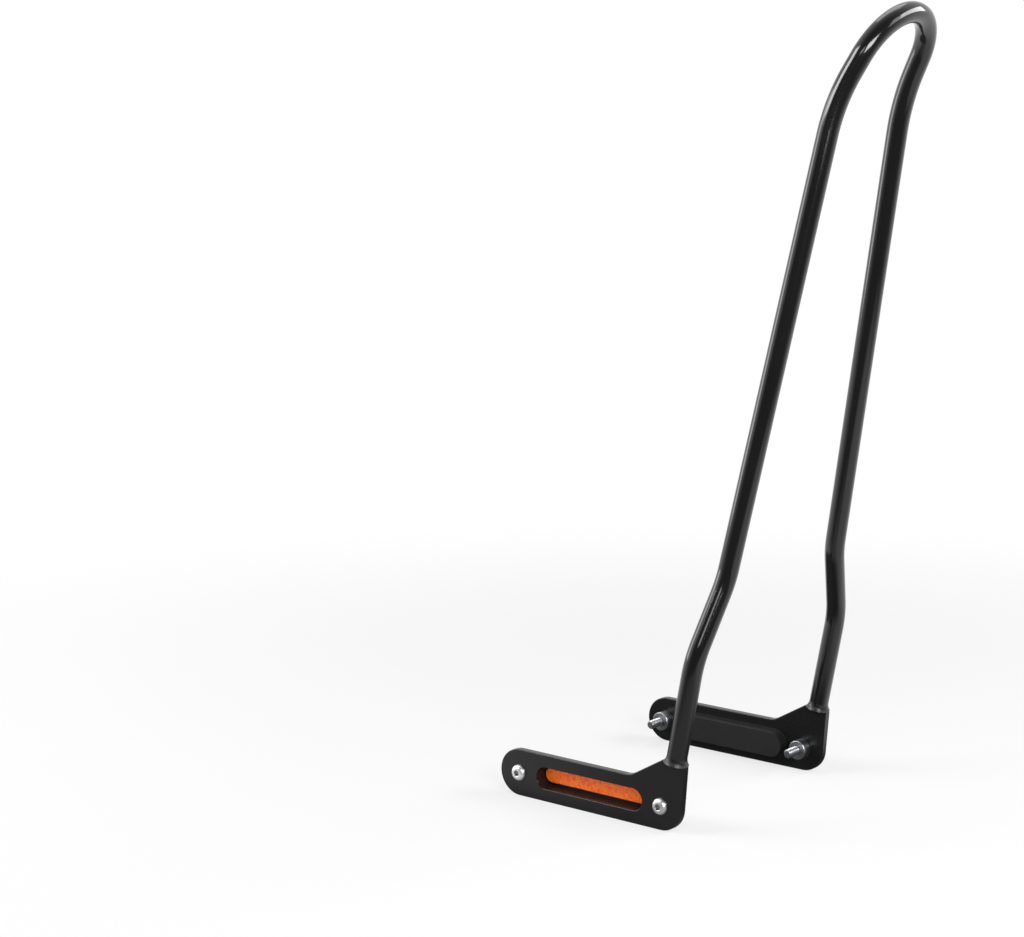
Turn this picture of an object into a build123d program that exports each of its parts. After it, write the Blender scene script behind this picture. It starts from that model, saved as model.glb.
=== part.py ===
from build123d import *
import os
from math import cos, radians, sin, tan

# Sissy bar: a bent tube hoop welded to two side plates that are screwed to a motorcycle's tail.
# X runs rearwards, Y to the right-hand side and Z up, in millimetres and degrees.
# The pieces are drawn about the rear screws' common axis, left side first.

# Hoop tube: spans are between the two legs' centre lines, heights run up the leaning legs from the feet
TUBE_OD = 20.0
TUBE_WALL = 2.0
FEET_SPAN = 256.0
NECK_SPAN = 195.0
BEND_SPAN = 120.0
JOGGLE_START = 106.0
JOGGLE_END = 181.0
BEND_HEIGHT = 636.0
HOOP_LEAN = 10.7
TOP_BEND = 18.0
ARCH_TAPER = 8.9
JOGGLE_RADIUS = 85.0
BEND_RADIUS = 190.0
ARCH_RADIUS = 53.6

# Side plates: the tab that carries a foot rises behind the rear screw
PLATE_THICKNESS = 8.0
PLATE_HEIGHT = 48.0
SCREW_SPACING = 175.0
FOOT_BACK = 15.0
FOOT_RISE = 45.0
GUSSET_RUN = 39.5
GUSSET_FILLET = 20.0
WINDOW_LENGTH = 130.0
WINDOW_HEIGHT = 22.0
EDGE_ROUND = 1.0

# Weld beads: flared up the tube, and closing the tube's end against the plate's faces
WELD_RISE = 8.0
WELD_LEG = 2.5
WELD_DROP = 3.0
WELD_TOE = 6.0

# Button-head screws, three eighths of an inch, and the spacers behind the plates
SCREW_D = 9.525
THREAD_D = 9.4
RELIEF_D = 7.8
RELIEF_LENGTH = 1.6
SCREW_LENGTH = 38.1
SCREW_CHAMFER = 1.2
HOLE_CLEARANCE = 0.4
HEAD_D = 16.66
HEAD_HEIGHT = 5.05
HEAD_RIM = 0.8
HEAD_FLAT_D = 7.4
SOCKET_FLATS = 5.56
SOCKET_DEPTH = 3.1
SPACER_OD = 20.0
SPACER_LENGTH = 12.0
SPACER_CHAMFER = 0.6

# Reflectors: a lens on the floor of a tray bonded behind the plate's window
TRAY_FLANGE = 4.0
TRAY_WALL = 2.0
TRAY_CLEARANCE = 1.0
LENS_HEIGHT = 15.0
LENS_END_GAP = 1.0
LENS_THICKNESS = 4.0
LENS_BEVEL = 0.8

# Sizes that follow from the driving ones
HOLE_D = SCREW_D + 2 * HOLE_CLEARANCE
GRIP_LENGTH = PLATE_THICKNESS + SPACER_LENGTH
TRAY_DEPTH = SPACER_LENGTH - TRAY_CLEARANCE
LEG_DIRECTION = Vector(sin(radians(HOOP_LEAN)), 0, cos(radians(HOOP_LEAN)))
FOOT = Vector(FOOT_BACK, -FEET_SPAN / 2, FOOT_RISE)

# Left plate's outer face, with X rearwards, Y up and Z outwards
OUTER_FACE = Plane(
    origin=(0, -(FEET_SPAN + PLATE_THICKNESS) / 2, 0), x_dir=(1, 0, 0), z_dir=(0, -1, 0)
)
REAR_SCREW = Pos(0, 0)
FRONT_SCREW = Pos(-SCREW_SPACING, 0)
WINDOW = Pos(-SCREW_SPACING / 2, 0)


def hoop_path():
    """Centre line from the left foot over the arch to the right foot."""
    top_lean = radians(HOOP_LEAN + TOP_BEND)
    feet_middle = Vector(FOOT.X, 0, FOOT.Z)
    bend_middle = feet_middle + LEG_DIRECTION * BEND_HEIGHT
    apex_rise = BEND_SPAN / 2 / tan(radians(ARCH_TAPER))
    apex = bend_middle + Vector(sin(top_lean), 0, cos(top_lean)) * apex_rise
    stations = [
        (FEET_SPAN, 0),
        (FEET_SPAN, JOGGLE_START),
        (NECK_SPAN, JOGGLE_END),
        (BEND_SPAN, BEND_HEIGHT),
    ]
    left = [feet_middle + LEG_DIRECTION * height - Vector(0, span / 2, 0) for span, height in stations]
    right = [Vector(point.X, -point.Y, point.Z) for point in reversed(left)]
    leg_radii = [JOGGLE_RADIUS, JOGGLE_RADIUS, BEND_RADIUS]
    return FilletPolyline(*left, apex, *right, radius=[*leg_radii, ARCH_RADIUS, *reversed(leg_radii)])


def hoop_tube():
    """One length of round tube, cut square at both feet."""
    path = hoop_path()
    section = Circle(TUBE_OD / 2) - Circle(TUBE_OD / 2 - TUBE_WALL)
    return sweep(Plane(origin=path @ 0, z_dir=path % 0) * section, path=path)


def plate_outline():
    """Round-ended bar along the screws, with the tab and its gusset up to the foot."""
    bar = WINDOW * SlotCenterToCenter(SCREW_SPACING, PLATE_HEIGHT)
    half_tab = TUBE_OD / 2 + WELD_LEG
    along_tab = Vector(LEG_DIRECTION.Z, -LEG_DIRECTION.X)
    seat = Vector(FOOT_BACK, FOOT_RISE)
    tab_front = seat - along_tab * half_tab
    tab_rear = seat + along_tab * half_tab
    rear_end = CenterArc((0, 0), PLATE_HEIGHT / 2, 0, 360)
    tab = make_hull([rear_end.edge(), Line(tab_front, tab_rear).edge()])
    gusset_toe = Vector(tab_front.X - GUSSET_RUN, PLATE_HEIGHT / 2)
    gusset = make_face(Polyline(tab_front, gusset_toe, (0, 0), close=True))
    outline = bar + tab + gusset
    inner_corner = outline.vertices().sort_by_distance(gusset_toe)[0]
    return fillet(inner_corner, GUSSET_FILLET)


def side_plate():
    """Flat plate with a window between its two screw holes and its edges rounded off."""
    window = WINDOW * SlotOverall(WINDOW_LENGTH, WINDOW_HEIGHT)
    blank = extrude(plate_outline() - window, -PLATE_THICKNESS)
    faces = blank.faces().sort_by(Axis.Z)
    plate = fillet(faces[0].edges() + faces[-1].edges(), EDGE_ROUND)
    hole = Cylinder(HOLE_D / 2, PLATE_THICKNESS, align=(Align.CENTER, Align.CENTER, Align.MAX))
    return OUTER_FACE * (plate - REAR_SCREW * hole - FRONT_SCREW * hole)


def weld_bead(plate):
    """Bead round the foot, flared from the tube to the tab and down to a toe on the plate's faces."""
    tube_radius = TUBE_OD / 2
    flare_top = (tube_radius, WELD_RISE)
    flare_edge = (tube_radius + WELD_LEG, 0)
    toe = (WELD_TOE, -WELD_DROP)
    profile = (
        TangentArc(flare_top, flare_edge, tangent=(0, -1))
        + Line(flare_edge, toe)
        + Polyline(toe, (0, -WELD_DROP), (0, 0), (tube_radius, 0), flare_top)
    )
    bead = revolve(Plane.XZ * make_face(profile), Axis.Z)
    return Plane(origin=FOOT, x_dir=(0, 1, 0), z_dir=LEG_DIRECTION) * bead - plate


def button_screw():
    """Domed head with a hexagon socket on a plain shank, with the threaded end past a relief groove."""
    head_rim = (HEAD_D / 2, HEAD_RIM)
    head_flat = (HEAD_FLAT_D / 2, HEAD_HEIGHT)
    outline = TangentArc(head_flat, head_rim, tangent=(1, 0)) + Polyline(
        head_flat,
        (0, HEAD_HEIGHT),
        (0, -SCREW_LENGTH),
        (THREAD_D / 2 - SCREW_CHAMFER, -SCREW_LENGTH),
        (THREAD_D / 2, SCREW_CHAMFER - SCREW_LENGTH),
        (THREAD_D / 2, -GRIP_LENGTH),
        (RELIEF_D / 2, -GRIP_LENGTH),
        (RELIEF_D / 2, RELIEF_LENGTH - GRIP_LENGTH),
        (SCREW_D / 2, RELIEF_LENGTH - GRIP_LENGTH),
        (SCREW_D / 2, 0),
        (HEAD_D / 2, 0),
        head_rim,
    )
    body = revolve(Plane.XZ * make_face(outline), Axis.Z)
    hexagon = RegularPolygon(SOCKET_FLATS / 2, 6, major_radius=False)
    return body - extrude(Pos(0, 0, HEAD_HEIGHT) * hexagon, -SOCKET_DEPTH)


def spacer():
    """Plain bush between the plate and the surface that it is screwed to."""
    blank = extrude(Circle(SPACER_OD / 2), -SPACER_LENGTH)
    bush = chamfer(blank.edges().filter_by(GeomType.CIRCLE), SPACER_CHAMFER)
    bore = extrude(Circle(HOLE_D / 2), -SPACER_LENGTH)
    return Pos(0, 0, -PLATE_THICKNESS) * (bush - bore)


def reflector_tray():
    """Open tray with a flange that is bonded to the plate's inner face round the window."""
    def around_window(margin):
        return SlotOverall(WINDOW_LENGTH + 2 * margin, WINDOW_HEIGHT + 2 * margin)

    flange = extrude(around_window(TRAY_FLANGE), -TRAY_WALL)
    body = extrude(around_window(TRAY_WALL), -TRAY_DEPTH)
    cavity = extrude(around_window(0), TRAY_WALL - TRAY_DEPTH)
    return WINDOW * Pos(0, 0, -PLATE_THICKNESS) * (flange + body - cavity)


def reflector_lens():
    """Round-ended lens with a bevelled face, seated on the tray's floor."""
    length = WINDOW_LENGTH - 2 * LENS_END_GAP
    floor = -PLATE_THICKNESS - TRAY_DEPTH + TRAY_WALL
    blank = extrude(SlotOverall(length, LENS_HEIGHT), LENS_THICKNESS)
    lens = chamfer(blank.faces().sort_by(Axis.Z)[-1].edges(), LENS_BEVEL)
    return WINDOW * Pos(0, 0, floor) * lens


def left_pieces():
    """Every piece of the left-hand side, by the name it has after its side."""
    plate = side_plate()
    return {
        "side_plate": plate,
        "weld_bead": weld_bead(plate),
        "front_screw": OUTER_FACE * FRONT_SCREW * button_screw(),
        "rear_screw": OUTER_FACE * REAR_SCREW * button_screw(),
        "front_spacer": OUTER_FACE * FRONT_SCREW * spacer(),
        "rear_spacer": OUTER_FACE * REAR_SCREW * spacer(),
        "reflector_tray": OUTER_FACE * reflector_tray(),
        "reflector_lens": OUTER_FACE * reflector_lens(),
    }


pieces = {"hoop_tube": hoop_tube()}
for name, piece in left_pieces().items():
    pieces["left_" + name] = piece
    pieces["right_" + name] = mirror(piece, about=Plane.XZ)

# The origin is the middle of the bottom of the whole part's box
box = Compound(list(pieces.values())).bounding_box()
to_origin = Pos(-box.center().X, 0, -box.min.Z)

os.makedirs("parts", exist_ok=True)
for name, piece in pieces.items():
    export_step(to_origin * piece, f"parts/{name}.step")
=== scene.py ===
from math import ceil, cos, pi, radians, sin, sqrt, tan

import bmesh
import bpy
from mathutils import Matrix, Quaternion, Vector


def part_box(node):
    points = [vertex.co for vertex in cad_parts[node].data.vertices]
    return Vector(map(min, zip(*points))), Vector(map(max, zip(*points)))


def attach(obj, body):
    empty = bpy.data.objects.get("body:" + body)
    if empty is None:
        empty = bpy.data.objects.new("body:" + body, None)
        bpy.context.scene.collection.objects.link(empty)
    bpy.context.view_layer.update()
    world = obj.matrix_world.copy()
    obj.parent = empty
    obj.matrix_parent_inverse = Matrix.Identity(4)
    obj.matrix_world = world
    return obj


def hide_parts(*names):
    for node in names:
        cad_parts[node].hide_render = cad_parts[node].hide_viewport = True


# Sissy bar in a white studio, in metres: X rearwards, Y to the right-hand side and Z up
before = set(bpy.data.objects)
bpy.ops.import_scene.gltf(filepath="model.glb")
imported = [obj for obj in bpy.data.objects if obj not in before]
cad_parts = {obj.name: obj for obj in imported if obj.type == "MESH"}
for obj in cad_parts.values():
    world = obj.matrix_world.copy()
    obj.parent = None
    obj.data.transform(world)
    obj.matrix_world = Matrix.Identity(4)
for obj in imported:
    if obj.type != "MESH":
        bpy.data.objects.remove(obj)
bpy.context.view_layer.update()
scene = bpy.context.scene
scene.view_settings.view_transform = "Standard"

# Camera: left of the bar and behind it, a little above
CAMERA_PLACE = (1.21314, -1.83194, 0.69171)
CAMERA_AZIMUTH = 39.3
CAMERA_ELEVATION = 9.24
CAMERA_LENS = 78.911
CAMERA_SENSOR = 36.0

# Studio: reflections see a room that is white behind the bar and dark on the camera's side
STUDIO_MIDDLE = Vector((0.05, 0.0, 0.4))
ROOM_FILL = 0.04
ROOM_FRONT = 0.06
ROOM_TURN_DARK = -0.7
ROOM_TURN_WHITE = 0.35
FLOOR_RADIUS = 12.0
FLOOR_SEGMENTS = 96
FLOOR_PAINT = (0.9, 0.9, 0.9, 1)

# Round patches of the floor: middle, start and end of the change, and the values inside and outside
PAINT_TO_WHITE = ((0.0, 0.0, 0.0), 0.45, 1.6, 0.66, 1.0)
GLOW_ROUND_BAR = ((0.0, 0.0, 0.0), 0.35, 0.75, 0.35, 0.0)
GLOW_BEHIND_BAR = ((0.6, 0.1, 0.0), 0.3, 0.72, 0.75, 0.0)
# Painted shade on the floor between the plates, which only reflections see
SHADE_BETWEEN_PLATES = ((-0.13, 0.05, 0.0), 0.16, 0.24, 0.08, 1.0)
SHADE_SQUEEZE = (0.5, 1.0, 1.0)

# Lamps: turn to the right of the camera and rise in degrees, distance, width, height and radiance
LAMPS = {
    "left_softbox": (-108, 12, 2.0, 0.8, 1.1, 3.2),
    "left_feather": (-86, 14, 2.0, 1.4, 1.1, 0.4),
    "left_key": (-82, 30, 2.0, 0.9, 0.7, 9.0),
    "right_softbox": (92, 28, 2.0, 1.5, 0.75, 7.5),
    "right_feather": (61, 26, 2.0, 0.75, 0.7, 3.0),
    "overhead_softbox": (180, 72, 1.9, 1.2, 1.0, 1.8),
    "front_left_strip": (-22, 14, 2.6, 0.7, 0.4, 3.8),
    "front_right_strip": (13.5, 14, 1.5, 0.75, 0.46, 13.0),
}

# Hoop: spans are between the legs' centre lines, heights run up the leaning legs from the feet
TUBE_RADIUS = 0.010
BORE_RADIUS = 0.008
FOOT_BACK = 0.015
FOOT_RISE = 0.045
FEET_SPAN = 0.256
NECK_SPAN = 0.195
BEND_SPAN = 0.120
JOGGLE_START = 0.106
JOGGLE_END = 0.181
BEND_HEIGHT = 0.636
HOOP_LEAN = 10.7
TOP_BEND = 18.0
ARCH_TAPER = 8.9
JOGGLE_RADIUS = 0.085
BEND_RADIUS = 0.190
ARCH_RADIUS = 0.0536
TUBE_SEGMENTS = 64
BEND_STEP = radians(1.5)
RUN_STEP = 0.012

# Screws: button head, plain shank, relief groove and coarse thread, from under the head along the axis
SCREW_SEGMENTS = 72
HEAD_RADIUS = 0.00833
HEAD_HEIGHT = 0.00505
HEAD_RIM = 0.0008
HEAD_RIM_ROUND = 0.0002
HEAD_FLAT_RADIUS = 0.0037
HEAD_ARC_STEPS = 14
SOCKET_APOTHEM = 0.00278
SOCKET_DEPTH = 0.0031
SOCKET_MOUTH = 0.00346
SOCKET_CHAMFER = 0.00035
SOCKET_DRILL = 0.0022
DRILL_POINT = SOCKET_DRILL / 3
SHANK_RADIUS = 0.0047625
SHANK_LENGTH = 0.0184
RELIEF_RADIUS = 0.0038
GRIP_LENGTH = 0.020
SCREW_LENGTH = 0.0381
TIP_CHAMFER = 0.0012

# Thread: half of a crest's width and the width of a flank are shares of the pitch
THREAD_RADIUS = 0.0047
THREAD_PITCH = 0.0015875
THREAD_STEPS = 12
THREAD_DEPTH = 0.00086
THREAD_HALF_CREST = 1 / 8
THREAD_FLANK = 5 / 16

# Meshes are smooth where their faces meet at less than this
SHARP_ANGLE = radians(28)

# Prisms of the lenses: directions of their three sides in degrees, pitch and depth
PRISM_SIDES = (90, 210, 330)
PRISM_PITCH = 0.0024
PRISM_DEPTH = 0.0009

# Weld beads: ripples round the foot, which fade out up the tube
WELD_RIPPLES = 22
WELD_RIPPLE_SHARE = 0.5
WELD_FADE = 0.002
WELD_RISE = 0.008

# Black powder coat: its darkest and lightest tone, and the clear gloss over it on the tube
COAT_BLACK = ((0.006, 0.006, 0.0063), (0.009, 0.009, 0.0093))
GLOSS_WEIGHT = 0.3
GLOSS_ROUGHNESS = 0.06


def link(name, data):
    """New object in the scene."""
    piece = bpy.data.objects.new(name, data)
    scene.collection.objects.link(piece)
    return piece


def camera():
    """Camera at the photograph's place and angle."""
    data = bpy.data.cameras.new("camera")
    data.lens = CAMERA_LENS
    data.sensor_fit = "HORIZONTAL"
    data.sensor_width = CAMERA_SENSOR
    eye = link("camera", data)
    eye.location = CAMERA_PLACE
    eye.rotation_euler = (radians(90 - CAMERA_ELEVATION), 0, radians(CAMERA_AZIMUTH))
    scene.camera = eye


# Shader nodes


def math_node(tree, operation, first, second=None):
    """Math node whose inputs are linked sockets or plain numbers."""
    node = tree.nodes.new("ShaderNodeMath")
    node.operation = operation
    for socket, value in zip(node.inputs, (first, second)):
        if isinstance(value, bpy.types.NodeSocket):
            tree.links.new(value, socket)
        elif value is not None:
            socket.default_value = value
    return node.outputs["Value"]


def vector_node(tree, operation, first, second=None):
    """Vector math node on a linked vector, with a plain vector as the other one."""
    node = tree.nodes.new("ShaderNodeVectorMath")
    node.operation = operation
    tree.links.new(first, node.inputs[0])
    if second is not None:
        node.inputs[1].default_value = second
    return node.outputs


def range_node(tree, value, start, end, first, last):
    """Smooth change from first to last while the value goes from start to end."""
    node = tree.nodes.new("ShaderNodeMapRange")
    node.interpolation_type = "SMOOTHSTEP"
    node.inputs["From Min"].default_value = start
    node.inputs["From Max"].default_value = end
    node.inputs["To Min"].default_value = first
    node.inputs["To Max"].default_value = last
    tree.links.new(value, node.inputs["Value"])
    return node.outputs["Result"]


def coordinates(tree, kind):
    """The surface's own coordinates, as one vector."""
    return tree.nodes.new("ShaderNodeTexCoord").outputs[kind]


def axes(tree, vector):
    """X, Y and Z of a vector."""
    parts = tree.nodes.new("ShaderNodeSeparateXYZ")
    tree.links.new(vector, parts.inputs["Vector"])
    return parts.outputs


def box_axes(tree, origin):
    """X, Y and Z in the piece's own box, as shares of its size measured from an origin in it."""
    place = coordinates(tree, "Generated")
    return axes(tree, vector_node(tree, "SUBTRACT", place, origin)["Vector"])


def axis_distance(tree, first, second):
    """Distance from an axis, by the places along the two others."""
    squares = [math_node(tree, "MULTIPLY", place, place) for place in (first, second)]
    return math_node(tree, "SQRT", math_node(tree, "ADD", *squares))


def noise_node(tree, scale, detail=2.0):
    """Noise over the surface, with its scale per metre given as a socket."""
    noise = tree.nodes.new("ShaderNodeTexNoise")
    noise.inputs["Detail"].default_value = detail
    tree.links.new(coordinates(tree, "Object"), noise.inputs["Vector"])
    tree.links.new(scale, noise.inputs["Scale"])
    return noise.outputs["Fac"]


def mix_shaders(tree, share, first, second):
    """Blend of two shaders by a share from 0 to 1."""
    mix = tree.nodes.new("ShaderNodeMixShader")
    tree.links.new(share, mix.inputs["Fac"])
    tree.links.new(first, mix.inputs[1])
    tree.links.new(second, mix.inputs[2])
    return mix.outputs["Shader"]


# Studio floor, room and lamps


def studio_direction(turn, rise):
    """Unit vector from the bar, turned to the right of the camera and raised from level, in degrees."""
    angle = radians(CAMERA_AZIMUTH - 90 + turn)
    level = cos(radians(rise))
    return Vector((cos(angle) * level, sin(angle) * level, sin(radians(rise))))


def softbox(name, turn, rise, distance, width, height, radiance):
    """Rectangular lamp that faces the bar, with an even glow over its whole face."""
    data = bpy.data.lights.new(name, "AREA")
    data.shape = "RECTANGLE"
    data.size = width
    data.size_y = height
    data.energy = radiance * pi * width * height
    lamp = link(name, data)
    lamp.visible_camera = False
    toward = studio_direction(turn, rise)
    lamp.location = STUDIO_MIDDLE + toward * distance
    lamp.rotation_euler = toward.to_track_quat("Z", "Y").to_euler()


def studio_shade(tree):
    """What reflections see of floor and room: white behind the bar, darker on the camera's side."""
    outward = vector_node(tree, "NORMALIZE", coordinates(tree, "Object"))["Vector"]
    behind = vector_node(tree, "DOT_PRODUCT", outward, -studio_direction(0, 0))["Value"]
    return range_node(tree, behind, ROOM_TURN_DARK, ROOM_TURN_WHITE, ROOM_FRONT, 1.0)


def floor_patch(tree, place, middle, start, end, inside, outside):
    """Value that changes from inside to outside a round patch of the floor."""
    reach = vector_node(tree, "DISTANCE", place, middle)["Value"]
    return range_node(tree, reach, start, end, inside, outside)


def seen_floor(tree):
    """Pale paint that takes the bar's shadow, and white further out."""
    paint = tree.nodes.new("ShaderNodeBsdfDiffuse")
    paint.inputs["Color"].default_value = FLOOR_PAINT
    white = tree.nodes.new("ShaderNodeEmission")
    share = floor_patch(tree, coordinates(tree, "Object"), *PAINT_TO_WHITE)
    return mix_shaders(tree, share, paint.outputs["BSDF"], white.outputs["Emission"])


def mirrored_floor(tree):
    """The studio's shade with two soft glows, and painted shade between the plates."""
    place = coordinates(tree, "Object")
    shade = studio_shade(tree)
    for glow in (GLOW_ROUND_BAR, GLOW_BEHIND_BAR):
        shade = math_node(tree, "MAXIMUM", shade, floor_patch(tree, place, *glow))
    squeezed = vector_node(tree, "MULTIPLY", place, SHADE_SQUEEZE)["Vector"]
    # Painted shade: reflections see the floor between the plates darkened, as shade under the bar
    painted_shade = floor_patch(tree, squeezed, *SHADE_BETWEEN_PLATES)
    mirrored = tree.nodes.new("ShaderNodeEmission")
    tree.links.new(math_node(tree, "MULTIPLY", shade, painted_shade), mirrored.inputs["Strength"])
    return mirrored.outputs["Emission"]


def floor_finish():
    """One floor to the camera and another to reflections."""
    material = bpy.data.materials.new("studio_floor")
    material.use_nodes = True
    tree = material.node_tree
    tree.nodes.clear()
    path = tree.nodes.new("ShaderNodeLightPath").outputs
    out = tree.nodes.new("ShaderNodeOutputMaterial")
    shader = mix_shaders(tree, path["Is Glossy Ray"], seen_floor(tree), mirrored_floor(tree))
    tree.links.new(shader, out.inputs["Surface"])
    return material


def floor():
    """Large round floor under the bar."""
    shape = bmesh.new()
    bmesh.ops.create_circle(shape, cap_ends=True, radius=FLOOR_RADIUS, segments=FLOOR_SEGMENTS)
    mesh = bpy.data.meshes.new("studio_floor")
    shape.to_mesh(mesh)
    shape.free()
    mesh.materials.append(floor_finish())
    piece = link("studio_floor", mesh)
    piece.location = (STUDIO_MIDDLE.x, STUDIO_MIDDLE.y, 0)


def room():
    """White to the camera, the shaded studio to reflections, and an even fill on everything else."""
    world = bpy.data.worlds.new("studio_room")
    world.use_nodes = True
    tree = world.node_tree
    tree.nodes.clear()
    backgrounds = [tree.nodes.new("ShaderNodeBackground") for _ in range(3)]
    for background in backgrounds:
        background.inputs["Color"].default_value = (1, 1, 1, 1)
    walls, fill, white = backgrounds
    fill.inputs["Strength"].default_value = ROOM_FILL
    tree.links.new(studio_shade(tree), walls.inputs["Strength"])
    path = tree.nodes.new("ShaderNodeLightPath").outputs
    glossy = path["Is Glossy Ray"]
    around = mix_shaders(tree, glossy, fill.outputs["Background"], walls.outputs["Background"])
    seen = math_node(tree, "MAXIMUM", path["Is Camera Ray"], path["Is Transmission Ray"])
    out = tree.nodes.new("ShaderNodeOutputWorld")
    shader = mix_shaders(tree, seen, around, white.outputs["Background"])
    tree.links.new(shader, out.inputs["Surface"])
    scene.world = world


def studio():
    """Floor, room and soft lamps."""
    floor()
    room()
    for name, setting in LAMPS.items():
        softbox(name, *setting)


# Effects that several finishes share


def new_group(name, inputs, outputs):
    """Empty shader group with float inputs given as name to default, and float outputs."""
    group = bpy.data.node_groups.new(name, "ShaderNodeTree")
    for socket, value in inputs.items():
        item = group.interface.new_socket(socket, in_out="INPUT", socket_type="NodeSocketFloat")
        item.default_value = value
    for socket in outputs:
        group.interface.new_socket(socket, in_out="OUTPUT", socket_type="NodeSocketFloat")
    start = group.nodes.new("NodeGroupInput")
    end = group.nodes.new("NodeGroupOutput")
    return group, start.outputs, end.inputs


def powder_coat_group():
    """Flow ripple and fine grain of a baked powder coat, with a slow change of tone."""
    group, given, result = new_group(
        "powder_coat",
        {"Ripple Scale": 520.0, "Grain Scale": 2600.0, "Grain Share": 0.3, "Patch Scale": 18.0},
        ("Height", "Patch"),
    )
    ripple = noise_node(group, given["Ripple Scale"], 1.0)
    grain = noise_node(group, given["Grain Scale"])
    fine = math_node(group, "MULTIPLY", grain, given["Grain Share"])
    group.links.new(math_node(group, "ADD", ripple, fine), result["Height"])
    group.links.new(noise_node(group, given["Patch Scale"], 3.0), result["Patch"])
    return group


def turned_group():
    """Fine cutting rings of a piece turned about its own Y axis, with a slow change of tone."""
    group, given, result = new_group(
        "turned_rings",
        {"Rings": 40.0, "Feed": 0.6, "Waver": 3.0, "Waver Scale": 900.0, "Tone Scale": 160.0},
        ("Height", "Tone"),
    )
    own = box_axes(group, (0.5, 0.0, 0.5))
    radius = axis_distance(group, own["X"], own["Z"])
    along = math_node(group, "MULTIPLY", own["Y"], given["Feed"])
    cut = math_node(group, "MULTIPLY", math_node(group, "ADD", radius, along), given["Rings"])
    waver = math_node(group, "MULTIPLY", noise_node(group, given["Waver Scale"]), given["Waver"])
    phase = math_node(group, "MULTIPLY", math_node(group, "ADD", cut, waver), 2 * pi)
    group.links.new(math_node(group, "SINE", phase), result["Height"])
    group.links.new(noise_node(group, given["Tone Scale"]), result["Tone"])
    return group


class Finish:
    """One material: its Principled shader and the helpers that feed it."""

    def __init__(self, name, **constants):
        self.material = bpy.data.materials.new(name)
        self.material.use_nodes = True
        self.tree = self.material.node_tree
        self.shader = self.tree.nodes["Principled BSDF"]
        for socket, value in constants.items():
            self.shader.inputs[socket.replace("_", " ")].default_value = value

    def feed(self, value, socket):
        """Links a value that changes over the surface to one of the shader's sockets."""
        self.tree.links.new(value, self.shader.inputs[socket])

    def effect(self, group, **values):
        """Places a shared effect with this finish's own values."""
        node = self.tree.nodes.new("ShaderNodeGroup")
        node.node_tree = group
        for socket, value in values.items():
            node.inputs[socket.replace("_", " ")].default_value = value
        return node.outputs

    def tones(self, share, low, high):
        """Colour between two tones, each a plain colour or a socket, by a share from 0 to 1."""
        mix = self.tree.nodes.new("ShaderNodeMix")
        mix.data_type = "RGBA"
        self.tree.links.new(share, mix.inputs["Factor"])
        for socket, tone in zip((mix.inputs["A"], mix.inputs["B"]), (low, high)):
            if isinstance(tone, bpy.types.NodeSocket):
                self.tree.links.new(tone, socket)
            else:
                socket.default_value = (*tone, 1)
        return mix.outputs["Result"]

    def color(self, share, low, high):
        """Base colour between two tones."""
        self.feed(self.tones(share, low, high), "Base Color")

    def roughness(self, share, low, high):
        """Roughness between two values."""
        self.feed(range_node(self.tree, share, 0.0, 1.0, low, high), "Roughness")

    def relief(self, height, strength, depth):
        """Bump of a height, as deep as depth in metres at full strength."""
        bump = self.tree.nodes.new("ShaderNodeBump")
        bump.inputs["Strength"].default_value = strength
        bump.inputs["Distance"].default_value = depth
        self.tree.links.new(height, bump.inputs["Height"])
        self.feed(bump.outputs["Normal"], "Normal")


# Finishes


def tube_finish(powder):
    """Gloss black powder coat with a faint flow ripple."""
    finish = Finish("tube_coat", Coat_Weight=GLOSS_WEIGHT, Coat_Roughness=GLOSS_ROUGHNESS)
    coat = finish.effect(powder, Ripple_Scale=320.0, Grain_Share=0.06)
    finish.color(coat["Patch"], *COAT_BLACK)
    finish.roughness(coat["Patch"], 0.1, 0.16)
    finish.relief(coat["Height"], 0.004, 0.00012)
    return finish.material


def bead_share(tree):
    """1 on a weld bead, fading to 0 where it runs out up the tube."""
    leg = leaning(HOOP_LEAN)
    foot = hoop_corners()[0].dot(leg)
    up_leg = vector_node(tree, "DOT_PRODUCT", coordinates(tree, "Object"), leg)["Value"]
    return range_node(tree, up_leg, foot + WELD_FADE, foot + WELD_RISE, 1.0, 0.0)


def bead_ripple(tree):
    """Soft waves round a weld bead."""
    own = box_axes(tree, (0.5, 0.5, 0.0))
    around = math_node(tree, "ARCTAN2", own["Y"], own["X"])
    wave = math_node(tree, "SINE", math_node(tree, "MULTIPLY", around, WELD_RIPPLES))
    return math_node(tree, "MULTIPLY", wave, WELD_RIPPLE_SHARE)


def weld_finish(powder):
    """Black powder coat over the soft ripples of a weld bead, which fade into the tube above it; the
    bead is rougher and painted lighter as its sheen.
    """
    finish = Finish("weld_coat", Coat_Roughness=GLOSS_ROUGHNESS)
    coat = finish.effect(powder, Ripple_Scale=420.0, Grain_Share=0.2)
    tree = finish.tree
    bead = bead_share(tree)
    share = math_node(tree, "MULTIPLY", bead, coat["Patch"])
    height = math_node(tree, "ADD", bead_ripple(tree), coat["Height"])
    # Painted sheen: the bead's colour goes up to a lighter grey, standing in for the light its coat
    # catches
    finish.color(share, (0.0075, 0.0075, 0.0078), (0.019, 0.019, 0.0193))
    finish.roughness(share, 0.13, 0.5)
    finish.feed(range_node(tree, bead, 0.0, 1.0, GLOSS_WEIGHT, 0.0), "Coat Weight")
    finish.relief(math_node(tree, "MULTIPLY", height, bead), 0.2, 0.00025)
    return finish.material


def plate_finish(powder):
    """Satin black powder coat with a fine even grain."""
    finish = Finish("plate_coat", Specular_IOR_Level=0.4)
    coat = finish.effect(powder, Ripple_Scale=900.0, Grain_Scale=3600.0, Grain_Share=0.6)
    finish.color(coat["Patch"], *COAT_BLACK)
    finish.roughness(coat["Patch"], 0.24, 0.31)
    finish.relief(coat["Height"], 0.12, 0.0001)
    return finish.material


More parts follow.
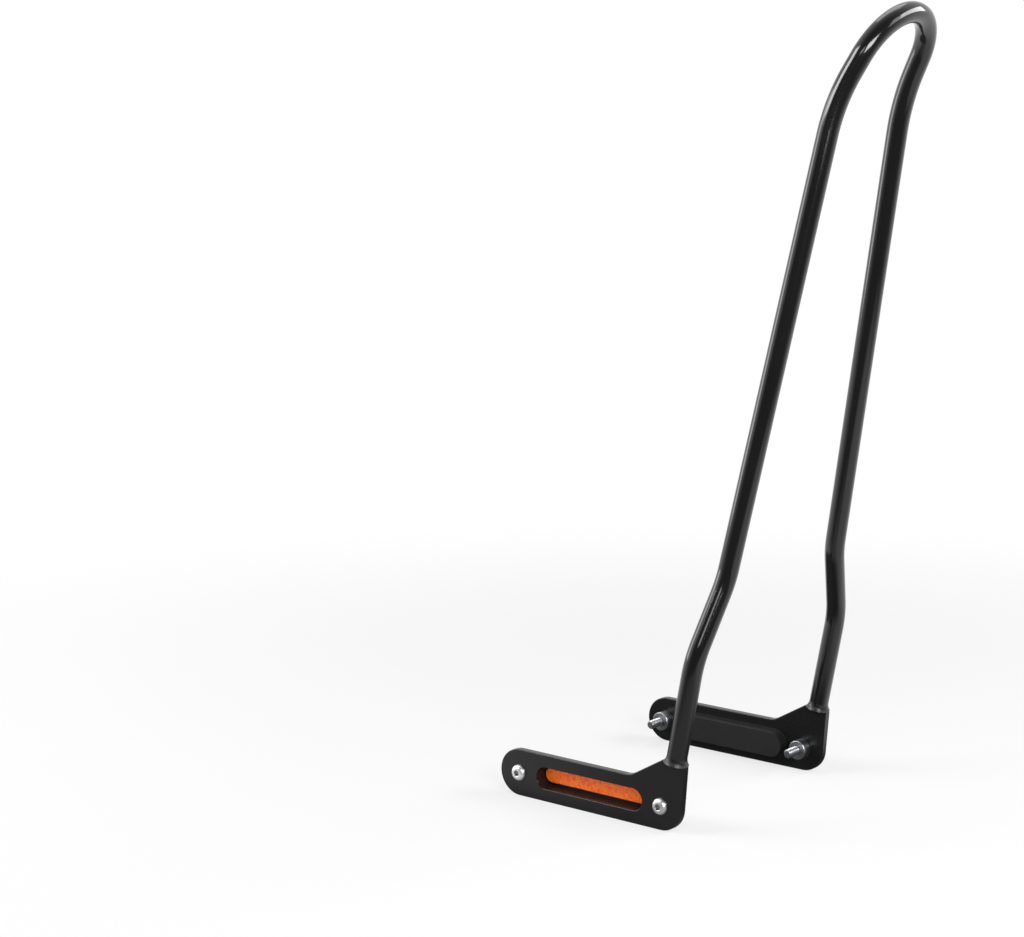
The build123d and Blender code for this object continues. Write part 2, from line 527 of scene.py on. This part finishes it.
def screw_finish(turned):
    """Bright plated head with faint cutting rings, a socket painted darker as shade, and a plainer
    shank and thread.
    """
    finish = Finish("screw_chrome", Metallic=1.0)
    tree = finish.tree
    rings = finish.effect(turned, Rings=60.0, Waver=1.5)
    own = axes(tree, coordinates(tree, "Object"))
    radius = axis_distance(tree, own["X"], own["Z"])
    # Painted shade: inside the socket the head takes the shank's darker plain tone, in place of the
    # shade in the recess
    socket = range_node(tree, radius, SOCKET_APOTHEM, SOCKET_MOUTH, 1.0, 0.0)
    shank = range_node(tree, own["Y"], 0.0, HEAD_RIM, 0.0, 1.0)
    bright = finish.tones(rings["Tone"], (0.9, 0.9, 0.91), (0.97, 0.97, 0.98))
    plain_and_socket_shade = finish.tones(rings["Tone"], (0.36, 0.37, 0.39), (0.5, 0.51, 0.52))
    finish.color(math_node(tree, "MAXIMUM", socket, shank), bright, plain_and_socket_shade)
    finish.roughness(rings["Tone"], 0.3, 0.4)
    finish.relief(rings["Height"], 0.04, 0.00003)
    return finish.material


def spacer_finish(turned):
    """Zinc plating over turned steel."""
    finish = Finish("spacer_zinc", Metallic=1.0)
    rings = finish.effect(turned, Rings=36.0, Waver=2.0)
    finish.color(rings["Tone"], (0.44, 0.45, 0.48), (0.6, 0.61, 0.63))
    finish.roughness(rings["Tone"], 0.28, 0.42)
    finish.relief(rings["Height"], 0.15, 0.00006)
    return finish.material


def tray_finish(powder):
    """Moulded black plastic with a spark-eroded grain."""
    finish = Finish("tray_plastic")
    grain = finish.effect(powder, Ripple_Scale=1500.0, Grain_Scale=4200.0, Grain_Share=1.0)
    finish.color(grain["Patch"], (0.006, 0.006, 0.006), (0.009, 0.009, 0.0092))
    finish.roughness(grain["Patch"], 0.5, 0.62)
    finish.relief(grain["Height"], 0.4, 0.0001)
    return finish.material


def lens_prisms(tree):
    """Height of small three-sided prisms over a lens, and a random value for each prism that paints its
    glint.
    """
    own = axes(tree, coordinates(tree, "Object"))
    prism = tree.nodes.new("ShaderNodeCombineXYZ")
    slopes = []
    for degrees, number in zip(PRISM_SIDES, prism.inputs):
        along = math_node(tree, "MULTIPLY", own["X"], cos(radians(degrees)) / PRISM_PITCH)
        upward = math_node(tree, "MULTIPLY", own["Z"], sin(radians(degrees)) / PRISM_PITCH)
        row = math_node(tree, "ADD", along, upward)
        slopes.append(math_node(tree, "PINGPONG", row, 0.5))
        tree.links.new(math_node(tree, "FLOOR", row), number)
    lowest = math_node(tree, "MINIMUM", slopes[0], slopes[1])
    height = math_node(tree, "MINIMUM", lowest, slopes[2])
    prism_glint = tree.nodes.new("ShaderNodeTexWhiteNoise")
    tree.links.new(prism.outputs["Vector"], prism_glint.inputs["Vector"])
    return height, prism_glint.outputs["Value"]


def lens_finish():
    """Clear orange plastic over small prisms, with a faint painted glow in place of the light the
    prisms send back, and a painted glint on each prism.
    """
    # Painted glow: the lens emits a little of its own orange, in place of the light its prisms send
    # back
    finish = Finish(
        "lens_orange", Roughness=0.22, Coat_Weight=0.15, Coat_Roughness=0.05, Emission_Strength=0.14
    )
    height, prism_glint = lens_prisms(finish.tree)
    # Painted glints: each prism gets a brighter or deeper orange at random, standing in for the light
    # its faces catch
    orange_and_glow = finish.tones(prism_glint, (0.9, 0.072, 0.006), (1.0, 0.222, 0.011))
    finish.feed(orange_and_glow, "Base Color")
    # Painted glow: the same orange feeds the emission
    finish.feed(orange_and_glow, "Emission Color")
    finish.relief(height, 0.7, PRISM_DEPTH)
    return finish.material


# Meshes made of rings


def join_rings(shape, rings):
    """Faces all round between each ring of points and the next."""
    for ring, following in zip(rings, rings[1:]):
        for index in range(len(ring)):
            before = index - 1
            shape.faces.new((ring[before], following[before], following[index], ring[index]))


def smooth_mesh(name, shape):
    """Finished mesh of a shape, smooth apart from its sharp edges."""
    bmesh.ops.recalc_face_normals(shape, faces=shape.faces)
    mesh = bpy.data.meshes.new(name)
    shape.to_mesh(mesh)
    shape.free()
    mesh.shade_smooth()
    mesh.set_sharp_from_angle(angle=SHARP_ANGLE)
    return mesh


def angles_round(segments):
    """Equal angles once round."""
    return [2 * pi * index / segments for index in range(segments)]


def stand_in(piece, node):
    """Shows a piece in the place of a plain one."""
    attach(piece, "root")
    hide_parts(node)


# Hoop


def leaning(degrees):
    """Unit vector that rises and leans rearwards from upright."""
    return Vector((sin(radians(degrees)), 0, cos(radians(degrees))))


def hoop_corners():
    """Corners of the centre line from the left foot over the arch to the right foot."""
    low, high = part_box("left_rear_screw")
    screw = (low + high) / 2
    leg = leaning(HOOP_LEAN)
    feet_middle = Vector((screw.x + FOOT_BACK, 0, screw.z + FOOT_RISE))
    apex_rise = BEND_SPAN / 2 / tan(radians(ARCH_TAPER))
    apex = feet_middle + leg * BEND_HEIGHT + leaning(HOOP_LEAN + TOP_BEND) * apex_rise
    stations = [
        (FEET_SPAN, 0),
        (FEET_SPAN, JOGGLE_START),
        (NECK_SPAN, JOGGLE_END),
        (BEND_SPAN, BEND_HEIGHT),
    ]
    left = [feet_middle + leg * height - Vector((0, span / 2, 0)) for span, height in stations]
    right = [Vector((corner.x, -corner.y, corner.z)) for corner in reversed(left)]
    return [*left, apex, *right]


def bend(before, corner, after, radius):
    """Places and directions round one bend of the centre line."""
    entry = (corner - before).normalized()
    leave = (after - corner).normalized()
    turn = entry.angle(leave)
    axis = entry.cross(leave).normalized()
    spoke = entry.cross(axis) * radius
    middle = corner - entry * radius * tan(turn / 2) - spoke
    steps = ceil(turn / BEND_STEP)
    turns = [Quaternion(axis, turn * step / steps) for step in range(steps + 1)]
    return [(middle + part @ spoke, part @ entry) for part in turns]


def straight_run(last, following):
    """Steps from the last place to the first of the following ones, and then those."""
    place, direction = last
    gap = following[0][0] - place
    steps = ceil(gap.length / RUN_STEP)
    return [(place + gap * step / steps, direction) for step in range(1, steps)] + following


def hoop_line():
    """Places and directions along the whole centre line, in short steps."""
    corners = hoop_corners()
    leg_radii = [JOGGLE_RADIUS, JOGGLE_RADIUS, BEND_RADIUS]
    radii = [*leg_radii, ARCH_RADIUS, *reversed(leg_radii)]
    line = [(corners[0], leaning(HOOP_LEAN))]
    for before, corner, after, radius in zip(corners, corners[1:], corners[2:], radii):
        line += straight_run(line[-1], bend(before, corner, after, radius))
    return line + straight_run(line[-1], [(corners[-1], -leaning(HOOP_LEAN))])


def hoop_mesh():
    """Wall of the bent tube, outside and bore, closed by a flat ring at each foot."""
    shape = bmesh.new()
    line = hoop_line()
    angles = angles_round(TUBE_SEGMENTS)
    side = Vector((0, 1, 0))
    heading = line[0][1]
    outside = []
    bore = []
    for place, direction in line:
        side = heading.rotation_difference(direction) @ side
        heading = direction
        aside = heading.cross(side)
        spokes = [side * cos(angle) + aside * sin(angle) for angle in angles]
        outside.append([shape.verts.new(place + spoke * TUBE_RADIUS) for spoke in spokes])
        bore.append([shape.verts.new(place + spoke * BORE_RADIUS) for spoke in spokes])
    join_rings(shape, outside + bore[::-1] + outside[:1])
    return smooth_mesh("bent_hoop", shape)


def hoop(material):
    """A finely stepped hoop in the place of the plain one."""
    mesh = hoop_mesh()
    mesh.materials.append(material)
    stand_in(link("bent_hoop", mesh), "hoop_tube")


# Screws


def hexagon_radius(angle):
    """Distance from the socket's axis to its wall."""
    sector = pi / 3
    return SOCKET_APOTHEM / cos((angle + sector / 2) % sector - sector / 2)


def thread_radius(angle, height):
    """Distance from the axis to a thread with flat crests and roots."""
    phase = (height / THREAD_PITCH - angle / (2 * pi)) % 1.0
    slope = (abs(phase - 0.5) - THREAD_HALF_CREST) / THREAD_FLANK
    return THREAD_RADIUS - THREAD_DEPTH * min(1.0, max(0.0, slope))


def plain_ring(radius):
    """The same radius all round."""
    return lambda angle: radius


def thread_ring(height, limit):
    """Radius of the thread at one height, cut back to a limit at its two ends."""
    return lambda angle: min(limit, thread_radius(angle, height))


def head_rings():
    """Rings of the socket and the domed head down to the shank, as (radius of angle, height)."""
    floor_height = HEAD_HEIGHT - SOCKET_DEPTH
    rings = [
        (plain_ring(SOCKET_DRILL), floor_height),
        (hexagon_radius, floor_height),
        (hexagon_radius, HEAD_HEIGHT - SOCKET_CHAMFER),
        (plain_ring(SOCKET_MOUTH), HEAD_HEIGHT),
    ]
    run = HEAD_RADIUS - HEAD_FLAT_RADIUS
    drop = HEAD_HEIGHT - HEAD_RIM
    dome = (run**2 + drop**2) / (2 * drop)
    for step in range(HEAD_ARC_STEPS + 1):
        out = run * sin(pi / 2 * step / HEAD_ARC_STEPS)
        height = HEAD_HEIGHT - dome + sqrt(dome**2 - out**2)
        rings.append((plain_ring(HEAD_FLAT_RADIUS + out), height))
    rings.append((plain_ring(HEAD_RADIUS), HEAD_RIM_ROUND))
    rings.append((plain_ring(HEAD_RADIUS - HEAD_RIM_ROUND), 0.0))
    rings.append((plain_ring(SHANK_RADIUS), 0.0))
    return rings


def shank_rings():
    """Rings of the shank, the relief groove and the thread down to the chamfered tip."""
    rings = [
        (plain_ring(SHANK_RADIUS), -SHANK_LENGTH),
        (plain_ring(RELIEF_RADIUS), -SHANK_LENGTH),
    ]
    thread_length = SCREW_LENGTH - GRIP_LENGTH
    count = round(thread_length / THREAD_PITCH * THREAD_STEPS)
    for index in range(count + 1):
        depth = GRIP_LENGTH + thread_length * index / count
        start_limit = RELIEF_RADIUS + depth - GRIP_LENGTH
        tip_limit = THREAD_RADIUS - TIP_CHAMFER + SCREW_LENGTH - depth
        rings.append((thread_ring(-depth, min(start_limit, tip_limit)), -depth))
    return rings


def screw_ring(shape, radius, height):
    """Points once round the screw's axis, with a radius that depends on the angle."""
    points = []
    for angle in angles_round(SCREW_SEGMENTS):
        out = radius(angle)
        points.append(shape.verts.new((out * cos(angle), -height, out * sin(angle))))
    return points


def screw_mesh():
    """Closed surface from the socket's floor to the tip, with its head to the left."""
    shape = bmesh.new()
    rings = [screw_ring(shape, radius, height) for radius, height in head_rings() + shank_rings()]
    drill_point = shape.verts.new((0, SOCKET_DEPTH + DRILL_POINT - HEAD_HEIGHT, 0))
    tip = shape.verts.new((0, SCREW_LENGTH, 0))
    join_rings(shape, rings)
    for index in range(SCREW_SEGMENTS):
        shape.faces.new((drill_point, rings[0][index - 1], rings[0][index]))
        shape.faces.new((tip, rings[-1][index], rings[-1][index - 1]))
    return smooth_mesh("button_screw", shape)


def screws(material):
    """A threaded screw in the place of each plain one, with its head outwards."""
    mesh = screw_mesh()
    mesh.materials.append(material)
    for node in [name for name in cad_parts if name.endswith("_screw")]:
        low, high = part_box(node)
        middle = (low + high) / 2
        piece = link("threaded_" + node, mesh)
        if node.startswith("left"):
            piece.location = (middle.x, low.y + HEAD_HEIGHT, middle.z)
        else:
            piece.location = (middle.x, high.y - HEAD_HEIGHT, middle.z)
            piece.rotation_euler = (0, 0, pi)
        stand_in(piece, node)


def dress():
    """Gives every piece its finish."""
    powder = powder_coat_group()
    turned = turned_group()
    finishes = {
        "weld_bead": weld_finish(powder),
        "side_plate": plate_finish(powder),
        "spacer": spacer_finish(turned),
        "reflector_tray": tray_finish(powder),
        "reflector_lens": lens_finish(),
    }
    for name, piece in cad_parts.items():
        for ending, material in finishes.items():
            if name.endswith(ending):
                piece.data.materials.clear()
                piece.data.materials.append(material)
    hoop(tube_finish(powder))
    screws(screw_finish(turned))


camera()
studio()
dress()
